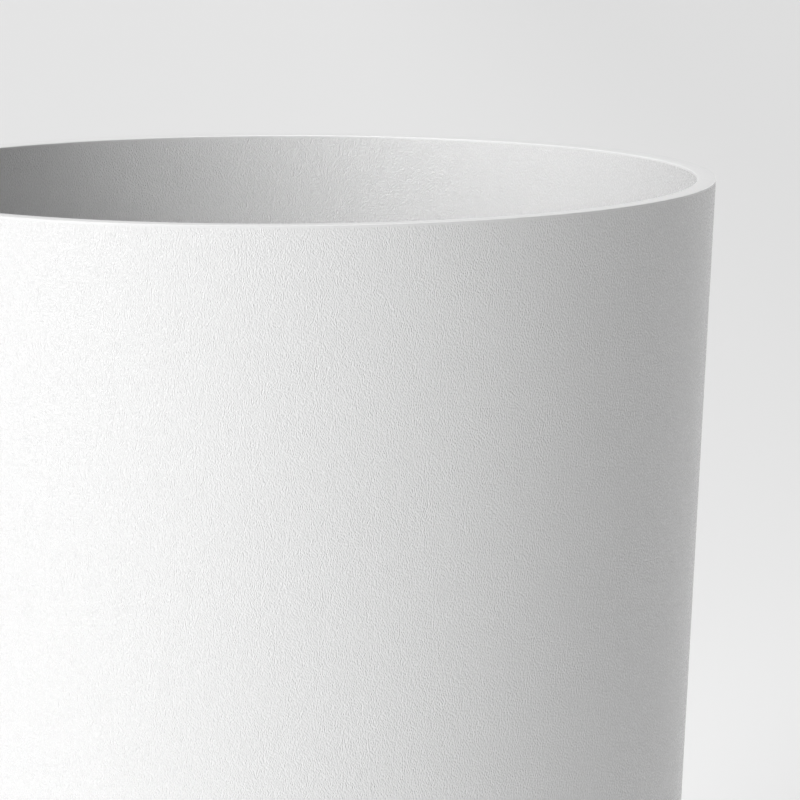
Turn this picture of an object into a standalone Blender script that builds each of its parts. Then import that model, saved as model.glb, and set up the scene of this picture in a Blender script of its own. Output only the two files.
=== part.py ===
"""Round open-top wastebasket: one tapered moulding that stands on four anti-slip pads.

Units are metres and +Z is up. The origin is on the floor that the bin stands on, under
the middle of the bin. The bin is turned about Z, and the pads sit on its diagonals.
"""

import math

import bmesh
import bpy

# Overall size, outside
RIM_DIAMETER = 0.216
FOOT_DIAMETER = 0.194
HEIGHT = 0.254

# Wall and rim
WALL_AT_RIM = 0.0046
WALL_AT_FOOT = 0.0028
RIM_EDGE_RADIUS = 0.0005

# Floor of the bin and the foot ring that lifts it
FLOOR_THICKNESS = 0.0032
FLOOR_RISE = 0.005
FLOOR_CORNER_RADIUS = 0.010
FOOT_EDGE_RADIUS = 0.0008
RECESS_CORNER_RADIUS = 0.002
GATE_DIAMETER = 0.012
GATE_DEPTH = 0.0008

# Anti-slip pads and the bosses that hold them
PAD_DIAMETER = 0.016
PAD_THICKNESS = 0.003
PAD_STAND_OFF = 0.001
PAD_EDGE_RADIUS = 0.0006
PAD_CLEARANCE = 0.0003
BOSS_WALL = 0.003
BOSS_SET_BACK = 0.0005
BOSS_ROOT = 0.001
PAD_ANGLES = {
    "front_right": -45.0,
    "back_right": 45.0,
    "back_left": 135.0,
    "front_left": 225.0,
}

# Facets: steps round the bin, round a pad, and in each rounded corner
BIN_STEPS = 96
PAD_STEPS = 32
ARC_STEPS = 4
WIDE_ARC_STEPS = 6

# How near two points are before a turned shape joins them
MERGE_DISTANCE = 0.00001

# Colour, roughness and metallic value of each piece's plastic
BIN_PLASTIC = ((0.86, 0.86, 0.86), 0.55, 0.0)
PAD_RUBBER = ((0.30, 0.30, 0.31), 0.80, 0.0)

# The foot ring's underside, which the pads hold clear of the floor
FOOT_PLANE = PAD_STAND_OFF


def outside_radius(z):
    """The straight taper of the outside, from the foot ring to the rim."""
    share = (z - FOOT_PLANE) / (HEIGHT - FOOT_PLANE)
    return (FOOT_DIAMETER + (RIM_DIAMETER - FOOT_DIAMETER) * share) / 2


def inside_radius(z):
    """The straight taper of the inside, which leaves a thicker wall at the rim."""
    share = (z - FOOT_PLANE) / (HEIGHT - FOOT_PLANE)
    return outside_radius(z) - WALL_AT_FOOT - (WALL_AT_RIM - WALL_AT_FOOT) * share


def rounded(corners):
    """A profile's points: each corner is (x, z, radius, steps), and an arc replaces it."""
    points = []
    for index, (x, z, radius, steps) in enumerate(corners):
        if radius == 0:
            points.append((x, z))
            continue
        before = corners[index - 1]
        after = corners[index + 1]
        back = math.atan2(before[1] - z, before[0] - x)
        ahead = math.atan2(after[1] - z, after[0] - x)
        turn = (ahead - back + math.pi) % math.tau - math.pi
        reach = radius / math.sin(abs(turn) / 2)
        middle = back + turn / 2
        centre_x = x + reach * math.cos(middle)
        centre_z = z + reach * math.sin(middle)
        sweep = math.copysign(math.pi - abs(turn), -turn)
        start = back - math.copysign(math.pi / 2, turn)
        for step in range(steps + 1):
            angle = start + sweep * step / steps
            points.append((centre_x + radius * math.cos(angle), centre_z + radius * math.sin(angle)))
    return points


def bin_profile():
    """Half the bin's section: out along the floor, up the inside, and down the outside."""
    recess_top = FOOT_PLANE + FLOOR_RISE
    floor_top = recess_top + FLOOR_THICKNESS
    gate_radius = GATE_DIAMETER / 2
    return rounded(
        [
            (0, floor_top, 0, 0),
            (inside_radius(floor_top), floor_top, FLOOR_CORNER_RADIUS, WIDE_ARC_STEPS),
            (inside_radius(HEIGHT), HEIGHT, RIM_EDGE_RADIUS, ARC_STEPS),
            (outside_radius(HEIGHT), HEIGHT, RIM_EDGE_RADIUS, ARC_STEPS),
            (outside_radius(FOOT_PLANE), FOOT_PLANE, FOOT_EDGE_RADIUS, ARC_STEPS),
            (inside_radius(FOOT_PLANE), FOOT_PLANE, FOOT_EDGE_RADIUS, ARC_STEPS),
            (inside_radius(recess_top), recess_top, RECESS_CORNER_RADIUS, ARC_STEPS),
            (gate_radius, recess_top, 0, 0),
            (gate_radius, recess_top + GATE_DEPTH, 0, 0),
            (0, recess_top + GATE_DEPTH, 0, 0),
        ]
    )


def pad_profile():
    """Half a pad's section: a flat disc whose lower edge is rounded."""
    radius = PAD_DIAMETER / 2
    return rounded(
        [
            (0, PAD_THICKNESS, 0, 0),
            (radius, PAD_THICKNESS, 0, 0),
            (radius, 0, PAD_EDGE_RADIUS, ARC_STEPS),
            (0, 0, 0, 0),
        ]
    )


def make_collection(name):
    """A new collection in the scene."""
    collection = bpy.data.collections.new(name)
    bpy.context.scene.collection.children.link(collection)
    return collection


def make_material(name, colour, roughness, metallic):
    """A plain Principled material."""
    material = bpy.data.materials.new(name)
    material.use_nodes = True
    shader = material.node_tree.nodes["Principled BSDF"]
    shader.inputs["Base Color"].default_value = (*colour, 1.0)
    shader.inputs["Roughness"].default_value = roughness
    shader.inputs["Metallic"].default_value = metallic
    return material


def profile_mesh(name, points, material):
    """A mesh of edges through a profile's points, ready for a Screw modifier."""
    mesh = bpy.data.meshes.new(name)
    edges = [(index, index + 1) for index in range(len(points) - 1)]
    mesh.from_pydata([(x, 0, z) for x, z in points], edges, [])
    mesh.materials.append(material)
    return mesh


def add_turned(name, mesh, steps, collection):
    """An object that turns a profile's mesh once round Z."""
    turned = bpy.data.objects.new(name, mesh)
    collection.objects.link(turned)
    screw = turned.modifiers.new("turn", "SCREW")
    screw.steps = steps
    screw.render_steps = steps
    screw.use_smooth_shade = True
    screw.use_merge_vertices = True
    screw.merge_threshold = MERGE_DISTANCE
    return turned


def add_cutter(name, radius, bottom, top, place, collection):
    """An upright cylinder that the bin's Booleans use, hidden from renders."""
    shape = bmesh.new()
    bmesh.ops.create_cone(
        shape,
        cap_ends=True,
        segments=PAD_STEPS,
        radius1=radius,
        radius2=radius,
        depth=top - bottom,
    )
    mesh = bpy.data.meshes.new(name)
    shape.to_mesh(mesh)
    shape.free()
    cutter = bpy.data.objects.new(name, mesh)
    cutter.location = (place[0], place[1], (bottom + top) / 2)
    cutter.hide_render = True
    cutter.display_type = "WIRE"
    collection.objects.link(cutter)


def add_boolean(target, name, operation, cutters):
    """A Boolean on the target with every object of a collection."""
    boolean = target.modifiers.new(name, "BOOLEAN")
    boolean.operation = operation
    boolean.operand_type = "COLLECTION"
    boolean.collection = cutters
    boolean.solver = "EXACT"


def socket_radius():
    """The hole that a pad is pushed into."""
    return PAD_DIAMETER / 2 + PAD_CLEARANCE


def boss_radius():
    """The outside of the boss round a pad."""
    return socket_radius() + BOSS_WALL


def pad_place(angle):
    """Where a pad's middle is: its boss runs into the foot ring by the boss's root."""
    reach = inside_radius(FOOT_PLANE) - boss_radius() + BOSS_ROOT
    return reach * math.cos(math.radians(angle)), reach * math.sin(math.radians(angle))


def add_bin(parts, bosses, sockets):
    """The moulded bin, with a boss and a socket under its floor for each pad."""
    material = make_material("white_plastic", *BIN_PLASTIC)
    recess_top = FOOT_PLANE + FLOOR_RISE
    socket_top = PAD_THICKNESS + PAD_CLEARANCE
    for corner, angle in PAD_ANGLES.items():
        place = pad_place(angle)
        boss_bottom = FOOT_PLANE + BOSS_SET_BACK
        boss_top = recess_top + BOSS_ROOT
        add_cutter("boss_" + corner, boss_radius(), boss_bottom, boss_top, place, bosses)
        add_cutter("socket_" + corner, socket_radius(), 0, socket_top, place, sockets)
    body = add_turned("bin_body", profile_mesh("bin_body", bin_profile(), material), BIN_STEPS, parts)
    add_boolean(body, "bosses", "UNION", bosses)
    add_boolean(body, "sockets", "DIFFERENCE", sockets)


def add_pads(parts):
    """The four pads, which share one mesh."""
    material = make_material("grey_rubber", *PAD_RUBBER)
    mesh = profile_mesh("foot_pad", pad_profile(), material)
    for corner, angle in PAD_ANGLES.items():
        pad = add_turned("foot_pad_" + corner, mesh, PAD_STEPS, parts)
        pad.location = (*pad_place(angle), 0)


def main():
    """Clear the scene and build the wastebasket."""
    for old in list(bpy.data.objects):
        bpy.data.objects.remove(old, do_unlink=True)
    parts = make_collection("wastebasket")
    cutters = make_collection("cutters")
    bosses = bpy.data.collections.new("bosses")
    sockets = bpy.data.collections.new("sockets")
    cutters.children.link(bosses)
    cutters.children.link(sockets)
    add_bin(parts, bosses, sockets)
    add_pads(parts)


main()
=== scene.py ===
"""Looks of a plain round wastebasket.

A white moulded bin with a fine grain on its walls and a smooth rim, standing on four
rubber pads, on a pale paper sweep under soft studio light. Everything is in metres.
"""

import logging
import math
from dataclasses import dataclass, field
from enum import Enum

import bmesh
import bpy
from mathutils import Matrix, Vector


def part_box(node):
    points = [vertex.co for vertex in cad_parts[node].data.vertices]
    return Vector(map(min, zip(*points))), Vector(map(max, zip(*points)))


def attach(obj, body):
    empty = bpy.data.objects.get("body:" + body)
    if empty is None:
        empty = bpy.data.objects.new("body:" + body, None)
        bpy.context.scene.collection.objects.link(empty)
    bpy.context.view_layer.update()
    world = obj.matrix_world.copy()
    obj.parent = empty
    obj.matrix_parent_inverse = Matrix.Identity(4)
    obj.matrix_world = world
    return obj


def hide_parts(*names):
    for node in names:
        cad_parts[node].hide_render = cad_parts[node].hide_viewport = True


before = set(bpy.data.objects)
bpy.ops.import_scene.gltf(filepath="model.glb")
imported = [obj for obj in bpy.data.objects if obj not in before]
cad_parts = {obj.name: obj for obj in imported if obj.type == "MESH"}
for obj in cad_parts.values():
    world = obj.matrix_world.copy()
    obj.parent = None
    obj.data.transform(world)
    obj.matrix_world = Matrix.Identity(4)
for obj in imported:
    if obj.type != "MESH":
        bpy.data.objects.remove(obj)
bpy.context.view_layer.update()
LOG = logging.getLogger("wastebasket")

Point = tuple[float, float]
Colour = tuple[float, float, float]


class Region(Enum):
    """The parts of the moulding that are finished differently, by material slot."""

    WALL = 0
    RIM = 1
    BASE = 2


class Corner(Enum):
    """How many facets a rounded corner of a section gets."""

    SHARP = 0
    SMALL = 6
    WIDE = 16


class Combining(Enum):
    """How a piece and its helpers are put together."""

    JOIN = "UNION"
    CUT = "DIFFERENCE"


# ----------------------------------------------------------------------------
# Sections and meshes
# ----------------------------------------------------------------------------


@dataclass(frozen=True)
class SectionPoint:
    """A corner of a turned section, with the region of the edge that leaves it."""

    x: float
    z: float
    radius: float = 0.0
    corner: Corner = Corner.SHARP
    region: Region = Region.WALL


def rounded(corners: list[SectionPoint]) -> tuple[list[Point], list[Region]]:
    """Replaces each corner that has a radius by an arc.

    Args:
        corners: The section's corners, in order.

    Returns:
        The section's points, and the region of the edge that leaves each point.
    """
    points: list[Point] = []
    regions: list[Region] = []
    for index, corner in enumerate(corners):
        if corner.radius == 0:
            points.append((corner.x, corner.z))
            regions.append(corner.region)
            continue
        before = corners[index - 1]
        after = corners[index + 1]
        back = math.atan2(before.z - corner.z, before.x - corner.x)
        ahead = math.atan2(after.z - corner.z, after.x - corner.x)
        turn = (ahead - back + math.pi) % math.tau - math.pi
        reach = corner.radius / math.sin(abs(turn) / 2)
        middle_x = corner.x + reach * math.cos(back + turn / 2)
        middle_z = corner.z + reach * math.sin(back + turn / 2)
        sweep = math.copysign(math.pi - abs(turn), -turn)
        start = back - math.copysign(math.pi / 2, turn)
        for step in range(corner.corner.value + 1):
            angle = start + sweep * step / corner.corner.value
            points.append(
                (
                    middle_x + corner.radius * math.cos(angle),
                    middle_z + corner.radius * math.sin(angle),
                )
            )
            regions.append(corner.region)
    return points, regions


def turned(name: str, points: list[Point], regions: list[Region], steps: int) -> bpy.types.Object:
    """Turns a section that starts and ends on the axis once round Z.

    Args:
        name: The new object's name.
        points: The section, running down its outer side.
        regions: The region of the edge that leaves each point.
        steps: How many facets go round.

    Returns:
        A closed mesh object, in the scene.
    """
    shape = bmesh.new()
    rings: list[list[bmesh.types.BMVert]] = []
    for x, z in points:
        if x == 0:
            rings.append([shape.verts.new((0, 0, z))] * steps)
            continue
        turns = [math.tau * step / steps for step in range(steps)]
        rings.append([shape.verts.new((x * math.cos(a), x * math.sin(a), z)) for a in turns])
    for upper, lower, region in zip(rings, rings[1:], regions):
        for step in range(steps):
            ahead = (step + 1) % steps
            around = [upper[step], lower[step], lower[ahead], upper[ahead]]
            face = shape.faces.new(list(dict.fromkeys(around)))
            face.material_index = region.value
    bmesh.ops.recalc_face_normals(shape, faces=shape.faces)
    mesh = bpy.data.meshes.new(name)
    shape.to_mesh(mesh)
    shape.free()
    piece = bpy.data.objects.new(name, mesh)
    bpy.context.scene.collection.objects.link(piece)
    return piece


def cylinder(
    name: str, radius: float, bottom: float, top: float, place: Point, steps: int
) -> bpy.types.Object:
    """Makes an upright closed cylinder, for a Boolean to use.

    Args:
        name: The new object's name.
        radius: Its radius.
        bottom: The height of its lower end.
        top: The height of its upper end.
        place: The x and y of its axis.
        steps: How many facets go round.

    Returns:
        The cylinder's object.
    """
    shape = bmesh.new()
    bmesh.ops.create_cone(
        shape, cap_ends=True, segments=steps, radius1=radius, radius2=radius, depth=top - bottom
    )
    bmesh.ops.translate(shape, verts=shape.verts, vec=(*place, (bottom + top) / 2))
    mesh = bpy.data.meshes.new(name)
    shape.to_mesh(mesh)
    shape.free()
    piece = bpy.data.objects.new(name, mesh)
    bpy.context.scene.collection.objects.link(piece)
    return piece


def combine(piece: bpy.types.Object, how: Combining, others: list[bpy.types.Object]) -> None:
    """Joins or cuts a piece with others by Boolean, applies it, and removes the others.

    Args:
        piece: The object that changes.
        how: Whether the others are joined to it or cut from it.
        others: The objects that it is joined or cut with.
    """
    helpers = bpy.data.collections.new("helpers")
    for other in others:
        helpers.objects.link(other)
    boolean = piece.modifiers.new("combine", "BOOLEAN")
    boolean.operation = how.value
    boolean.operand_type = "COLLECTION"
    boolean.collection = helpers
    boolean.solver = "EXACT"
    graph = bpy.context.evaluated_depsgraph_get()
    result = bpy.data.meshes.new_from_object(piece.evaluated_get(graph))
    piece.modifiers.remove(boolean)
    piece.data = result
    bpy.data.collections.remove(helpers)
    for other in others:
        bpy.data.objects.remove(other, do_unlink=True)


def smooth(piece: bpy.types.Object, sharp_from: float) -> None:
    """Shades a piece smooth, except at edges that turn more than an angle.

    Args:
        piece: The object to shade.
        sharp_from: The angle, in degrees, from which an edge stays sharp.
    """
    piece.data.shade_smooth()
    piece.data.set_sharp_from_angle(angle=math.radians(sharp_from))


# ----------------------------------------------------------------------------
# Shader node groups
# ----------------------------------------------------------------------------

# The grain's height that is a full pit, and the height that is no pit
PIT_FULL = 0.3
PIT_NONE = 0.5

# The mottle's squash along Z, its detail, and the noise values between which it rises
MOTTLE_SQUASH = 0.35
MOTTLE_DETAIL = 3.0
MOTTLE_LOW = 0.3
MOTTLE_HIGH = 0.7


def new_group(name: str, inputs: dict[str, float | None], outputs: list[str]) -> bpy.types.NodeTree:
    """Makes a shader node group with its sockets.

    Args:
        name: The group's name.
        inputs: Each input's name and default value, or None for a vector.
        outputs: The names of its value outputs.

    Returns:
        The empty group, with its input and output nodes in place.
    """
    group = bpy.data.node_groups.new(name, "ShaderNodeTree")
    for label, value in inputs.items():
        kind = "NodeSocketVector" if value is None else "NodeSocketFloat"
        socket = group.interface.new_socket(label, in_out="INPUT", socket_type=kind)
        if value is not None:
            socket.default_value = value
    for label in outputs:
        group.interface.new_socket(label, in_out="OUTPUT", socket_type="NodeSocketFloat")
    group.nodes.new("NodeGroupInput")
    group.nodes.new("NodeGroupOutput")
    return group


@dataclass
class Wiring:
    """Adds nodes to a tree and joins them, so that a material reads as a list of steps."""

    tree: bpy.types.NodeTree

    def add(self, kind: str, settings: dict | None = None, **inputs: object) -> bpy.types.Node:
        """Adds a node.

        Args:
            kind: The node's type name.
            settings: Properties to set on the node itself.
            **inputs: Values or output sockets for its inputs, by name with _ for a space.

        Returns:
            The new node.
        """
        node = self.tree.nodes.new(kind)
        for label, value in (settings or {}).items():
            setattr(node, label, value)
        for label, value in inputs.items():
            self.feed(node.inputs[label.replace("_", " ")], value)
        return node

    def feed(self, socket: bpy.types.NodeSocket, value: object) -> None:
        """Joins an output to a socket, or sets the socket's own value.

        Args:
            socket: The input socket.
            value: An output socket, or a plain value.
        """
        if isinstance(value, bpy.types.NodeSocket):
            self.tree.links.new(value, socket)
        else:
            socket.default_value = value

    def maths(self, operation: str, first: object, second: object) -> bpy.types.NodeSocket:
        """Adds a Math node.

        Args:
            operation: Its operation.
            first: Its first value or output socket.
            second: Its second value or output socket.

        Returns:
            Its result.
        """
        node = self.add("ShaderNodeMath", {"operation": operation})
        self.feed(node.inputs[0], first)
        self.feed(node.inputs[1], second)
        return node.outputs[0]

    def ramp(
        self, value: object, low: object, high: object, start: float, end: float
    ) -> bpy.types.NodeSocket:
        """Adds a smooth Map Range node, held at its ends.

        Args:
            value: What it reads.
            low: Where the change starts.
            high: Where the change ends.
            start: The result up to low.
            end: The result from high.

        Returns:
            Its result.
        """
        node = self.add("ShaderNodeMapRange", {"interpolation_type": "SMOOTHSTEP", "clamp": True})
        for index, part in enumerate((value, low, high, start, end)):
            self.feed(node.inputs[index], part)
        return node.outputs[0]

    def blend(self, share: object, first: object, second: object) -> bpy.types.NodeSocket:
        """Adds a colour Mix node.

        Args:
            share: How much of the second colour shows.
            first: The first colour.
            second: The second colour.

        Returns:
            The mixed colour.
        """
        node = self.add("ShaderNodeMix", {"data_type": "RGBA", "blend_type": "MIX"})
        self.feed(node.inputs["Factor"], share)
        self.feed(node.inputs["A"], first)
        self.feed(node.inputs["B"], second)
        return next(socket for socket in node.outputs if socket.type == "RGBA")


def eroded_grain_group() -> bpy.types.NodeTree:
    """The grain that a spark-eroded mould leaves: close, small bumps, drawn out upwards.

    Returns:
        A group with a Height and a Pits output, both from 0 to 1.
    """
    group = new_group(
        "eroded_grain",
        {"Vector": None, "Bumps per Metre": 3400.0, "Draw Stretch": 1.0},
        ["Height", "Pits"],
    )
    wiring = Wiring(group)
    given = group.nodes["Group Input"].outputs
    result = group.nodes["Group Output"].inputs
    upward = wiring.maths("DIVIDE", 1.0, given["Draw Stretch"])
    stretch = wiring.add("ShaderNodeCombineXYZ", X=1.0, Y=1.0, Z=upward)
    place = wiring.add("ShaderNodeVectorMath", {"operation": "MULTIPLY"})
    wiring.feed(place.inputs[0], given["Vector"])
    wiring.feed(place.inputs[1], stretch.outputs[0])
    bumps = wiring.add(
        "ShaderNodeTexNoise",
        {"noise_dimensions": "3D"},
        Vector=place.outputs["Vector"],
        Scale=given["Bumps per Metre"],
        Detail=0.0,
    )
    wiring.feed(result["Height"], bumps.outputs[0])
    wiring.feed(result["Pits"], wiring.ramp(bumps.outputs[0], PIT_FULL, PIT_NONE, 1.0, 0.0))
    return group


def flow_mottle_group() -> bpy.types.NodeTree:
    """The faint unevenness of cooled plastic: broad soft patches, and streaks up the draw.

    Returns:
        A group with a Mottle output, from 0 to 1.
    """
    group = new_group("flow_mottle", {"Vector": None, "Patches per Metre": 40.0}, ["Mottle"])
    wiring = Wiring(group)
    given = group.nodes["Group Input"].outputs
    stretched = wiring.add(
        "ShaderNodeMapping", Vector=given["Vector"], Scale=(1.0, 1.0, MOTTLE_SQUASH)
    )
    patches = wiring.add(
        "ShaderNodeTexNoise",
        {"noise_dimensions": "3D"},
        Vector=stretched.outputs[0],
        Scale=given["Patches per Metre"],
        Detail=MOTTLE_DETAIL,
        Roughness=0.5,
    )
    mottle = wiring.ramp(patches.outputs[0], MOTTLE_LOW, MOTTLE_HIGH, 0.0, 1.0)
    wiring.feed(group.nodes["Group Output"].inputs["Mottle"], mottle)
    return group


def height_band_group() -> bpy.types.NodeTree:
    """A mask that rises from 0 to 1 between two heights on the object.

    Returns:
        A group with a Band output.
    """
    group = new_group("height_band", {"Vector": None, "From": 0.0, "To": 1.0}, ["Band"])
    wiring = Wiring(group)
    given = group.nodes["Group Input"].outputs
    parts = wiring.add("ShaderNodeSeparateXYZ", Vector=given["Vector"])
    band = wiring.ramp(parts.outputs["Z"], given["From"], given["To"], 0.0, 1.0)
    wiring.feed(group.nodes["Group Output"].inputs["Band"], band)
    return group


@dataclass
class Effects:
    """The node groups that the finishes share."""

    grain: bpy.types.NodeTree = field(default_factory=eroded_grain_group)
    mottle: bpy.types.NodeTree = field(default_factory=flow_mottle_group)
    band: bpy.types.NodeTree = field(default_factory=height_band_group)


# ----------------------------------------------------------------------------
# Finishes
# ----------------------------------------------------------------------------


def opaque(colour: Colour) -> tuple[float, float, float, float]:
    """A colour with full alpha."""
    return (*colour, 1.0)


def new_material(name: str) -> tuple[bpy.types.Material, Wiring, bpy.types.Node, bpy.types.NodeSocket]:
    """Makes a material with a Principled shader.

    Args:
        name: The material's name.

    Returns:
        The material, its wiring, its shader, and the object's own coordinates.
    """
    material = bpy.data.materials.new(name)
    material.use_nodes = True
    wiring = Wiring(material.node_tree)
    shader = material.node_tree.nodes["Principled BSDF"]
    place = wiring.add("ShaderNodeTexCoord").outputs["Object"]
    return material, wiring, shader, place


@dataclass(frozen=True)
class MouldedPlastic:
    """White plastic from a mould, grained, or smooth where the mould was polished; the grain's pits
    are darkened as painted shade.
    """

    name: str
    colour: Colour
    # The colour the pits are darkened towards: painted shade in the grain's hollows.
    pit_shade_colour: Colour
    roughness: float
    pit_roughness: float
    bumps_per_metre: float
    grain_depth: float
    draw_stretch: float = 1.45
    specular: float = 0.5
    scuffed_below: float = 0.0
    scuff_colour: Colour = (0.62, 0.62, 0.62)
    mottle_share: float = 0.25
    # How far the pits are darkened: painted shade in the grain's hollows.
    pit_shade_share: float = 0.75

    def material(self, effects: Effects) -> bpy.types.Material:
        """Builds the material.

        Args:
            effects: The shared node groups.

        Returns:
            The finished material.
        """
        material, wiring, shader, place = new_material(self.name)
        grain = wiring.add(
            "ShaderNodeGroup",
            {"node_tree": effects.grain},
            Vector=place,
            Bumps_per_Metre=self.bumps_per_metre,
            Draw_Stretch=self.draw_stretch,
        )
        mottle = wiring.add("ShaderNodeGroup", {"node_tree": effects.mottle}, Vector=place)
        # The grain's pits are darkened in colour as painted shade in the hollows, added to the
        # plastic's random mottle.
        mottled = wiring.maths("MULTIPLY", mottle.outputs["Mottle"], self.mottle_share)
        pit_shade = wiring.maths("MULTIPLY", grain.outputs["Pits"], self.pit_shade_share)
        mottle_and_pit_shade = wiring.maths("ADD", mottled, pit_shade)
        colour = wiring.blend(mottle_and_pit_shade, opaque(self.colour), opaque(self.pit_shade_colour))
        rough = wiring.ramp(grain.outputs["Pits"], 0.0, 1.0, self.roughness, self.pit_roughness)
        if self.scuffed_below:
            foot = wiring.add(
                "ShaderNodeGroup",
                {"node_tree": effects.band},
                Vector=place,
                From=self.scuffed_below,
                To=0.0,
            )
            scuff = wiring.maths("MULTIPLY", foot.outputs["Band"], mottle.outputs["Mottle"])
            colour = wiring.blend(scuff, colour, opaque(self.scuff_colour))
        wiring.feed(shader.inputs["Base Color"], colour)
        wiring.feed(shader.inputs["Roughness"], rough)
        shader.inputs["Specular IOR Level"].default_value = self.specular
        bump = wiring.add(
            "ShaderNodeBump", Height=grain.outputs["Height"], Distance=self.grain_depth, Strength=1.0
        )
        wiring.feed(shader.inputs["Normal"], bump.outputs["Normal"])
        return material


@dataclass(frozen=True)
class PadRubber:
    """Soft grey rubber with a fine matte skin."""

    name: str = "pad_rubber"
    colour: Colour = (0.30, 0.30, 0.31)
    worn_colour: Colour = (0.38, 0.38, 0.385)
    roughness: float = 0.78
    worn_roughness: float = 0.9
    bumps_per_metre: float = 2600.0
    grain_depth: float = 0.00003
    patches_per_metre: float = 300.0
    most_wear: float = 0.6

    def material(self, effects: Effects) -> bpy.types.Material:
        """Builds the material.

        Args:
            effects: The shared node groups.

        Returns:
            The finished material.
        """
        material, wiring, shader, place = new_material(self.name)
        grain = wiring.add(
            "ShaderNodeGroup",
            {"node_tree": effects.grain},
            Vector=place,
            Bumps_per_Metre=self.bumps_per_metre,
        )
        mottle = wiring.add(
            "ShaderNodeGroup",
            {"node_tree": effects.mottle},
            Vector=place,
            Patches_per_Metre=self.patches_per_metre,
        )
        wear = wiring.maths("MULTIPLY", mottle.outputs["Mottle"], self.most_wear)
        colour = wiring.blend(wear, opaque(self.colour), opaque(self.worn_colour))
        rough = wiring.ramp(wear, 0.0, 1.0, self.roughness, self.worn_roughness)
        wiring.feed(shader.inputs["Base Color"], colour)
        wiring.feed(shader.inputs["Roughness"], rough)
        bump = wiring.add(
            "ShaderNodeBump", Height=grain.outputs["Height"], Distance=self.grain_depth, Strength=1.0
        )
        wiring.feed(shader.inputs["Normal"], bump.outputs["Normal"])
        return material


@dataclass(frozen=True)
class PaperSweep:
    """The pale matte paper: a painted pool of light makes it lighter near the bin, painted shade makes
    it darker to the right, so lighter to its left, and it is even far away.
    """

    name: str = "paper_sweep"
    far: float = 0.798
    lightest: float = 0.95
    # The next five values paint light and shade on the paper: a pool of light near the bin and shade
    # to its right.
    painted_light_lift: float = 0.037
    painted_light_falloff: float = -1.5
    painted_shade_drop: float = -0.058
    painted_shade_from: float = 0.05
    painted_shade_to: float = 0.45
    even_from: float = 6.0
    even_to: float = 12.0
    fibre_tone: float = 0.004
    fibres_per_metre: float = 900.0
    fibre_detail: float = 3.0
    roughness: float = 0.9
    specular: float = 0.1

    def material(self) -> bpy.types.Material:
        """Builds the material.

        Returns:
            The finished material.
        """
        material, wiring, shader, place = new_material(self.name)
        # Painted pool of light: the paper is lighter near the bin, fading with distance, up to the
        # lightest tone.
        reach = wiring.add("ShaderNodeVectorMath", {"operation": "LENGTH"})
        wiring.feed(reach.inputs[0], place)
        painted_light_lift = wiring.maths("POWER", reach.outputs["Value"], self.painted_light_falloff)
        tone = wiring.maths("ADD", wiring.maths("MULTIPLY", painted_light_lift, self.painted_light_lift), self.far)
        tone = wiring.maths("MINIMUM", tone, self.lightest)
        # Painted shade: the paper is darker to the right of the bin, fading out far away.
        parts = wiring.add("ShaderNodeSeparateXYZ", Vector=place)
        side = wiring.ramp(parts.outputs["X"], self.painted_shade_from, self.painted_shade_to, 0.0, self.painted_shade_drop)
        nearby = wiring.ramp(reach.outputs["Value"], self.even_from, self.even_to, 1.0, 0.0)
        tone = wiring.maths("ADD", tone, wiring.maths("MULTIPLY", side, nearby))
        fibres = wiring.add(
            "ShaderNodeTexNoise",
            {"noise_dimensions": "3D"},
            Vector=place,
            Scale=self.fibres_per_metre,
            Detail=self.fibre_detail,
        )
        tone = wiring.maths("ADD", tone, wiring.maths("MULTIPLY", fibres.outputs[0], self.fibre_tone))
        grey = wiring.add("ShaderNodeCombineColor", Red=tone, Green=tone, Blue=tone)
        wiring.feed(shader.inputs["Base Color"], grey.outputs[0])
        shader.inputs["Roughness"].default_value = self.roughness
        shader.inputs["Specular IOR Level"].default_value = self.specular
        return material


# ----------------------------------------------------------------------------
# The wastebasket
# ----------------------------------------------------------------------------


@dataclass
class FootPad:
    """One anti-slip pad: a rubber disc with a rounded foot and shallow grip rings."""

    node: str
    effects: Effects
    edge_radius: float = 0.0006
    top_chamfer: float = 0.0003
    ring_pitch: float = 0.0016
    ring_depth: float = 0.0003
    ring_half_share: float = 0.25
    ring_taper: float = 0.6
    rings: int = 3
    steps: int = 72
    sharp_from: float = 40.0

    def section(self, radius: float, height: float) -> tuple[list[Point], list[Region]]:
        """Works out the pad's section.

        Args:
            radius: The pad's radius.
            height: The pad's height.

        Returns:
            Its points and regions, from the middle of the top round to the middle below.
        """
        corners = [
            SectionPoint(0, height),
            SectionPoint(radius, height, self.top_chamfer, Corner.SMALL),
            SectionPoint(radius, 0, self.edge_radius, Corner.SMALL),
        ]
        for ring in range(self.rings, 0, -1):
            half = self.ring_pitch * self.ring_half_share
            middle = ring * self.ring_pitch + half
            corners += [
                SectionPoint(middle + half, 0),
                SectionPoint(middle + half * self.ring_taper, self.ring_depth),
                SectionPoint(middle - half * self.ring_taper, self.ring_depth),
                SectionPoint(middle - half, 0),
            ]
        corners.append(SectionPoint(0, 0))
        return rounded(corners)

    def build(self) -> bpy.types.Object:
        """Builds the pad where its CAD node stands.

        Returns:
            The finished pad.
        """
        low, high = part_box(self.node)
        points, regions = self.section((high.x - low.x) / 2, high.z - low.z)
        pad = turned(self.node.replace("foot_pad", "rubber_pad"), points, regions, self.steps)
        pad.data.transform(Matrix.Translation(((low.x + high.x) / 2, (low.y + high.y) / 2, low.z)))
        smooth(pad, self.sharp_from)
        pad.data.materials.append(PadRubber().material(self.effects))
        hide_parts(self.node)
        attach(pad, "root")
        LOG.info("%s stands for %s", pad.name, self.node)
        return pad


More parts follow.
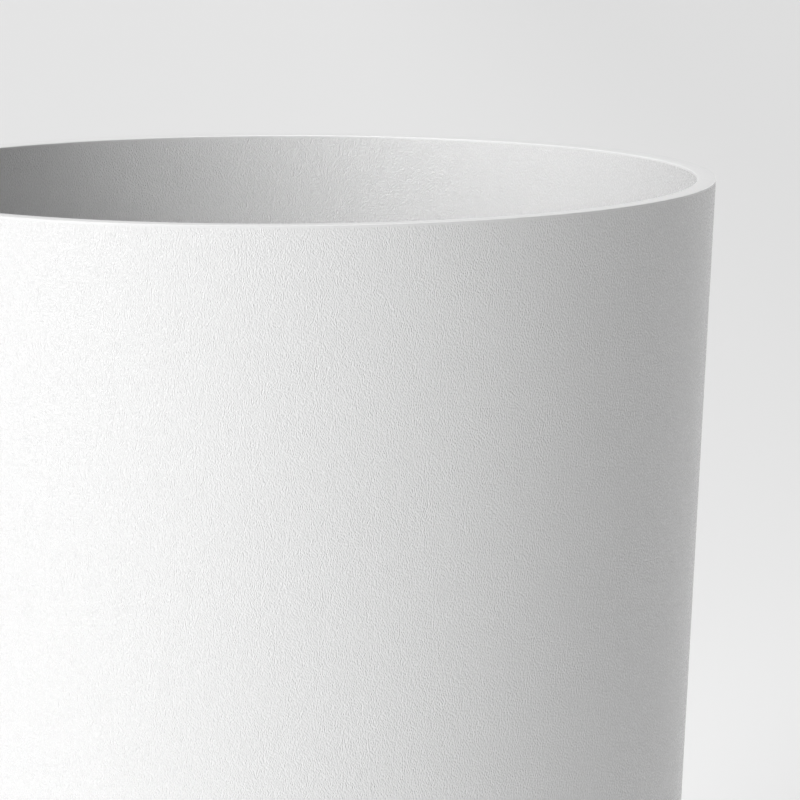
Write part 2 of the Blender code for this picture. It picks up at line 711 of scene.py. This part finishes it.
@dataclass
class BinMoulding:
    """The bin itself: one tapered moulding with a flat rim, a floor and a foot ring."""

    effects: Effects
    node: str = "bin_body"
    pad_nodes: tuple[str, ...] = (
        "foot_pad_front_right",
        "foot_pad_back_right",
        "foot_pad_back_left",
        "foot_pad_front_left",
    )
    foot_radius: float = 0.097
    rim_radius: float = 0.108
    wall_at_rim: float = 0.0046
    wall_at_foot: float = 0.0028
    rim_inner_edge: float = 0.0004
    rim_outer_edge: float = 0.0002
    polished_lip: float = 0.0006
    floor_rise: float = 0.005
    floor_thickness: float = 0.0032
    floor_corner: float = 0.010
    foot_edge: float = 0.0008
    recess_corner: float = 0.002
    gate_radius: float = 0.006
    gate_depth: float = 0.0008
    vestige_radius: float = 0.0012
    vestige_height: float = 0.0004
    vestige_taper: float = 0.8
    boss_wall: float = 0.003
    boss_set_back: float = 0.0005
    boss_root: float = 0.001
    boss_steps: int = 96
    pad_clearance: float = 0.0003
    wall_scuff: float = 0.0015
    base_scuff: float = 0.0012
    steps: int = 360
    sharp_from: float = 35.0

    def outside(self, share: float) -> float:
        """The outside radius, at a share of the way from the foot up to the rim."""
        return self.foot_radius + (self.rim_radius - self.foot_radius) * share

    def inside(self, share: float) -> float:
        """The inside radius, at a share of the way from the foot up to the rim."""
        return self.outside(share) - self.wall_at_foot - (self.wall_at_rim - self.wall_at_foot) * share

    def section(self, foot: float, rim: float) -> tuple[list[Point], list[Region]]:
        """Works out the bin's section.

        Args:
            foot: The height of the foot ring's underside.
            rim: The height of the rim.

        Returns:
            Its points and regions: the floor, up the inside, down the outside, and below.
        """
        recess = foot + self.floor_rise
        floor = recess + self.floor_thickness
        lip = rim - self.polished_lip
        floor_share = (floor - foot) / (rim - foot)
        recess_share = (recess - foot) / (rim - foot)
        lip_share = (lip - foot) / (rim - foot)
        return rounded(
            [
                SectionPoint(0, floor),
                SectionPoint(self.inside(floor_share), floor, self.floor_corner, Corner.WIDE),
                SectionPoint(self.inside(lip_share), lip, region=Region.RIM),
                SectionPoint(self.inside(1), rim, self.rim_inner_edge, Corner.SMALL, Region.RIM),
                SectionPoint(self.outside(1), rim, self.rim_outer_edge, Corner.SMALL, Region.RIM),
                SectionPoint(self.outside(lip_share), lip),
                SectionPoint(self.outside(0), foot, self.foot_edge, Corner.SMALL, Region.BASE),
                SectionPoint(self.inside(0), foot, self.foot_edge, Corner.SMALL, Region.BASE),
                SectionPoint(
                    self.inside(recess_share), recess, self.recess_corner, Corner.SMALL, Region.BASE
                ),
                SectionPoint(self.gate_radius, recess, region=Region.BASE),
                SectionPoint(self.gate_radius, recess + self.gate_depth, region=Region.BASE),
                SectionPoint(self.vestige_radius, recess + self.gate_depth, region=Region.BASE),
                SectionPoint(
                    self.vestige_radius * self.vestige_taper,
                    recess + self.gate_depth - self.vestige_height,
                    region=Region.BASE,
                ),
                SectionPoint(0, recess + self.gate_depth - self.vestige_height, region=Region.BASE),
            ]
        )

    def add_bosses(self, body: bpy.types.Object, foot: float) -> None:
        """Adds the boss and the socket that hold each pad.

        Args:
            body: The turned bin.
            foot: The height of the foot ring's underside.
        """
        bosses = []
        sockets = []
        recess = foot + self.floor_rise
        for node in self.pad_nodes:
            low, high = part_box(node)
            place = ((low.x + high.x) / 2, (low.y + high.y) / 2)
            socket = (high.x - low.x) / 2 + self.pad_clearance
            bosses.append(
                cylinder(
                    "boss_" + node,
                    socket + self.boss_wall,
                    foot + self.boss_set_back,
                    recess + self.boss_root,
                    place,
                    self.boss_steps,
                )
            )
            top = high.z + self.pad_clearance
            sockets.append(cylinder("socket_" + node, socket, 0, top, place, self.boss_steps))
        combine(body, Combining.JOIN, bosses)
        combine(body, Combining.CUT, sockets)

    def finishes(self, foot: float) -> dict[Region, MouldedPlastic]:
        """The finish of each region.

        Args:
            foot: The height of the foot ring's underside.

        Returns:
            A finish for each region.
        """
        # Each finish's darker pit colour is painted shade in the grain's hollows.
        grained = MouldedPlastic(
            name="grained_white_plastic",
            colour=(0.845, 0.845, 0.845),
            pit_shade_colour=(0.832, 0.832, 0.832),
            roughness=0.25,
            pit_roughness=0.31,
            bumps_per_metre=4200.0,
            grain_depth=0.00019,
            specular=0.55,
            draw_stretch=2.0,
            scuffed_below=foot + self.wall_scuff,
        )
        polished = MouldedPlastic(
            name="smooth_white_plastic",
            colour=(0.835, 0.835, 0.835),
            pit_shade_colour=(0.822, 0.822, 0.822),
            roughness=0.34,
            pit_roughness=0.4,
            bumps_per_metre=700.0,
            grain_depth=0.000004,
        )
        hidden = MouldedPlastic(
            name="plain_white_plastic",
            colour=(0.84, 0.84, 0.84),
            pit_shade_colour=(0.82, 0.82, 0.82),
            roughness=0.45,
            pit_roughness=0.52,
            bumps_per_metre=900.0,
            grain_depth=0.00001,
            scuffed_below=foot + self.base_scuff,
        )
        return {Region.WALL: grained, Region.RIM: polished, Region.BASE: hidden}

    def build(self) -> bpy.types.Object:
        """Builds the bin where its CAD node stands.

        Returns:
            The finished bin.
        """
        low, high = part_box(self.node)
        points, regions = self.section(low.z, high.z)
        body = turned("moulded_bin", points, regions, self.steps)
        for region, finish in self.finishes(low.z).items():
            body.data.materials.append(finish.material(self.effects))
        self.add_bosses(body, low.z)
        smooth(body, self.sharp_from)
        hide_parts(self.node)
        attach(body, "root")
        LOG.info("%s stands for %s", body.name, self.node)
        return body


# ----------------------------------------------------------------------------
# The studio
# ----------------------------------------------------------------------------


@dataclass(frozen=True)
class StudioLamp:
    """A large distant lamp: where it shines from, how wide it is, and how bright."""

    name: str
    azimuth: float
    elevation: float
    spread: float
    strength: float
    away: float = 3.0

    def build(self) -> bpy.types.Object:
        """Builds the lamp.

        Returns:
            The lamp's object.
        """
        light = bpy.data.lights.new(self.name, "SUN")
        light.energy = math.pi * self.strength
        light.angle = math.radians(self.spread)
        lamp = bpy.data.objects.new(self.name, light)
        azimuth = math.radians(self.azimuth)
        elevation = math.radians(self.elevation)
        towards = Vector(
            (
                math.sin(azimuth) * math.cos(elevation),
                -math.cos(azimuth) * math.cos(elevation),
                math.sin(elevation),
            )
        )
        lamp.rotation_euler = (-towards).to_track_quat("-Z", "Y").to_euler()
        lamp.location = towards * self.away
        bpy.context.scene.collection.objects.link(lamp)
        return lamp


@dataclass
class Studio:
    """A paper floor, soft key, edge and top lamps, and pale surroundings."""

    floor_size: float = 40.0
    floor_cells: int = 8
    surroundings: float = 0.5
    fill: float = 0.012
    distance: float = 0.785
    lamps: tuple[StudioLamp, ...] = (
        StudioLamp("upper_key_lamp", azimuth=-42.0, elevation=24.0, spread=30.0, strength=0.555),
        StudioLamp("lower_key_lamp", azimuth=-57.0, elevation=3.0, spread=28.0, strength=0.41),
        StudioLamp("edge_lamp", azimuth=152.0, elevation=8.0, spread=24.0, strength=0.12),
        StudioLamp("top_lamp", azimuth=180.0, elevation=75.0, spread=30.0, strength=0.70),
    )

    def build_floor(self) -> bpy.types.Object:
        """Builds the paper floor.

        Returns:
            The floor's object.
        """
        shape = bmesh.new()
        bmesh.ops.create_grid(
            shape,
            x_segments=self.floor_cells,
            y_segments=self.floor_cells,
            size=self.floor_size,
        )
        mesh = bpy.data.meshes.new("paper_floor")
        shape.to_mesh(mesh)
        shape.free()
        floor = bpy.data.objects.new("paper_floor", mesh)
        bpy.context.scene.collection.objects.link(floor)
        mesh.materials.append(PaperSweep().material())
        return floor

    def build_surroundings(self) -> None:
        """Builds the surroundings: dim as a light, mid grey in gloss, and pale past the floor."""
        world = bpy.data.worlds.new("studio")
        world.use_nodes = True
        bpy.context.scene.world = world
        wiring = Wiring(world.node_tree)
        seen = world.node_tree.nodes["Background"]
        seen.inputs["Color"].default_value = opaque((self.surroundings,) * 3)
        rays = wiring.add("ShaderNodeLightPath")
        for ray, tone in (("Is Diffuse Ray", self.fill), ("Is Camera Ray", self.distance)):
            backdrop = wiring.add("ShaderNodeBackground", Color=opaque((tone,) * 3))
            mix = wiring.add("ShaderNodeMixShader")
            wiring.feed(mix.inputs[0], rays.outputs[ray])
            wiring.feed(mix.inputs[1], seen.outputs[0])
            wiring.feed(mix.inputs[2], backdrop.outputs[0])
            seen = mix
        wiring.feed(world.node_tree.nodes["World Output"].inputs["Surface"], seen.outputs[0])

    def build(self) -> None:
        """Builds the whole studio."""
        self.build_floor()
        self.build_surroundings()
        for lamp in self.lamps:
            lamp.build()
            LOG.info("%s at %.0f degrees", lamp.name, lamp.azimuth)


@dataclass(frozen=True)
class Viewpoint:
    """Where the camera stands, from the middle of the rim, and how it is aimed."""

    distance: float = 1.026
    elevation: float = 6.005
    aim_down: float = 9.135
    aim_right: float = 1.668
    lens: float = 185.3
    sensor: float = 36.0
    sight: float = 200.0

    def build(self, rim: float) -> bpy.types.Object:
        """Builds the camera and makes it the scene's own.

        Args:
            rim: The height of the rim.

        Returns:
            The camera's object.
        """
        lens = bpy.data.cameras.new("camera")
        lens.lens = self.lens
        lens.sensor_width = self.sensor
        lens.clip_end = self.sight
        camera = bpy.data.objects.new("camera", lens)
        elevation = math.radians(self.elevation)
        camera.location = (
            0,
            -self.distance * math.cos(elevation),
            rim + self.distance * math.sin(elevation),
        )
        camera.rotation_euler = (
            math.radians(90 - self.aim_down),
            0,
            -math.radians(self.aim_right),
        )
        bpy.context.scene.collection.objects.link(camera)
        bpy.context.scene.camera = camera
        return camera


def main() -> None:
    """Builds the studio, the bin and its pads, and reports each piece."""
    logging.basicConfig(level=logging.INFO, format="%(name)s: %(message)s")
    bpy.context.scene.view_settings.view_transform = "Standard"
    effects = Effects()
    moulding = BinMoulding(effects)
    body = moulding.build()
    for node in moulding.pad_nodes:
        FootPad(node, effects).build()
    Studio().build()
    Viewpoint().build(max(vertex.co.z for vertex in body.data.vertices))


if __name__ == "__main__":
    main()
